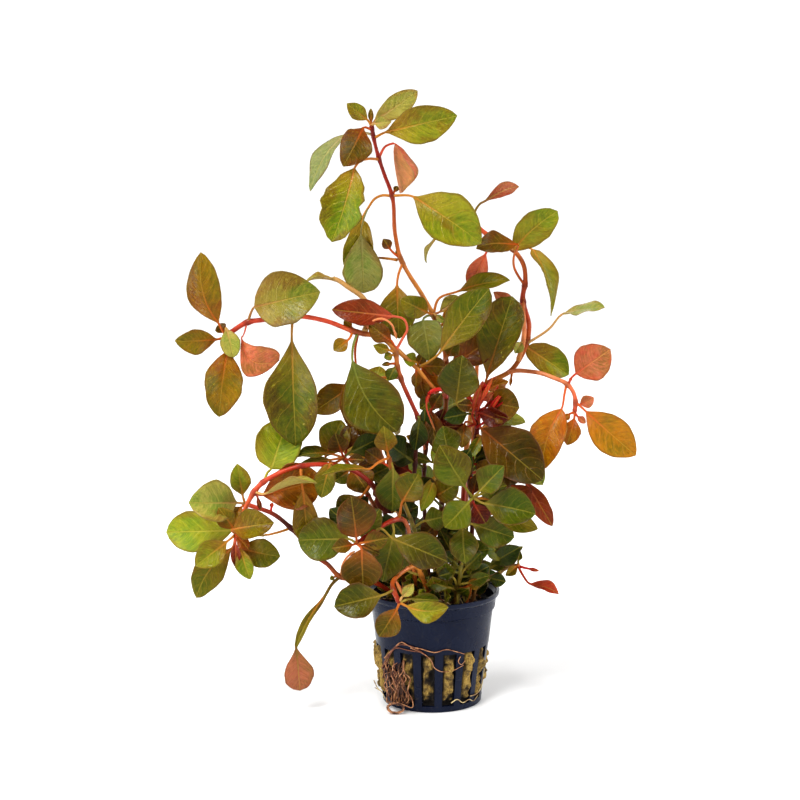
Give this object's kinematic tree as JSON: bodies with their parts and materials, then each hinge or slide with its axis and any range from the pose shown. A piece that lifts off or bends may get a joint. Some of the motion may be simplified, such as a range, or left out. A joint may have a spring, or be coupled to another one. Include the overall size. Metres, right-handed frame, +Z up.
{
  "type": "potted aquarium plant",
  "caption": "Bushy stem plant with opposite oval leaves, olive green to red, growing from a mineral-wool plug in a small slotted net pot.",
  "frame": {"origin": "centre of the pot's foot, on the surface that it stands on", "axes": "+Z up along the pot's axis; the picture looks along +Y, so +X is to its right"},
  "size_m": [0.1903, 0.1023, 0.2518],
  "materials": {
    "pot_plastic": "satin",
    "mineral_wool": "matte",
    "root_fibre": "matte",
    "stem_red": "satin",
    "leaf_green": "satin",
    "leaf_red": "satin"
  },
  "bodies": {
    "root": {"back_left_shoot": "stem_red", "back_low_shoot": "stem_red", "back_right_shoot": "stem_red", "front_left_shoot": "stem_red", "front_low_shoot": "stem_red", "front_right_shoot": "stem_red", "leaf_below_node": "leaf_green", "leaf_centre_blue_green": "leaf_green", "leaf_centre_diamond": "leaf_green", "leaf_centre_long": "leaf_green", "leaf_centre_right": "leaf_green", "leaf_drooping": "leaf_green", "leaf_far_left_hanging": "leaf_green", "leaf_far_left_salmon": "leaf_red", "leaf_far_left_upright": "leaf_green", "leaf_far_right_orange": "leaf_red", "leaf_far_right_salmon": "leaf_red", "leaf_front_bright": "leaf_green", "leaf_front_green": "leaf_green", "leaf_front_left_brown": "leaf_red", "leaf_front_left_crinkled": "leaf_green", "leaf_front_left_olive": "leaf_green", "leaf_front_low_dark": "leaf_green", "leaf_front_middle": "leaf_green", "leaf_front_right": "leaf_green", "leaf_left_broad": "leaf_green", "leaf_left_long": "leaf_green", "leaf_left_red": "leaf_red", "leaf_left_upper": "leaf_green", "leaf_low_left_bright": "leaf_green", "leaf_low_left_orange": "leaf_red", "leaf_low_left_pale": "leaf_green", "leaf_low_left_pointed": "leaf_green", "leaf_low_left_upright": "leaf_green", "leaf_right_dark": "leaf_green", "leaf_right_hanging": "leaf_green", "leaf_right_level": "leaf_green", "leaf_right_orange": "leaf_red", "leaf_right_spoon": "leaf_green", "leaf_top_left": "leaf_green", "leaf_top_right": "leaf_green", "leaf_top_round": "leaf_green", "leaf_trailing_salmon": "leaf_red", "leaf_upper_left": "leaf_green", "leaf_upper_right": "leaf_green", "left_arch_stem": "stem_red", "low_shoot": "stem_red", "lower_left_lower_stem": "stem_red", "lower_left_upper_stem": "stem_red", "mid_left_shoot": "stem_red", "mid_shoot": "stem_red", "mineral_wool_plug": "mineral_wool", "net_pot": "pot_plastic", "right_high_stem": "stem_red", "right_middle_shoot": "stem_red", "right_side_stem": "stem_red", "rim_right_shoot": "stem_red", "root_tangle": "root_fibre", "tall_stem": "stem_red", "upper_centre_shoot": "stem_red"}
  },
  "joints": []
}
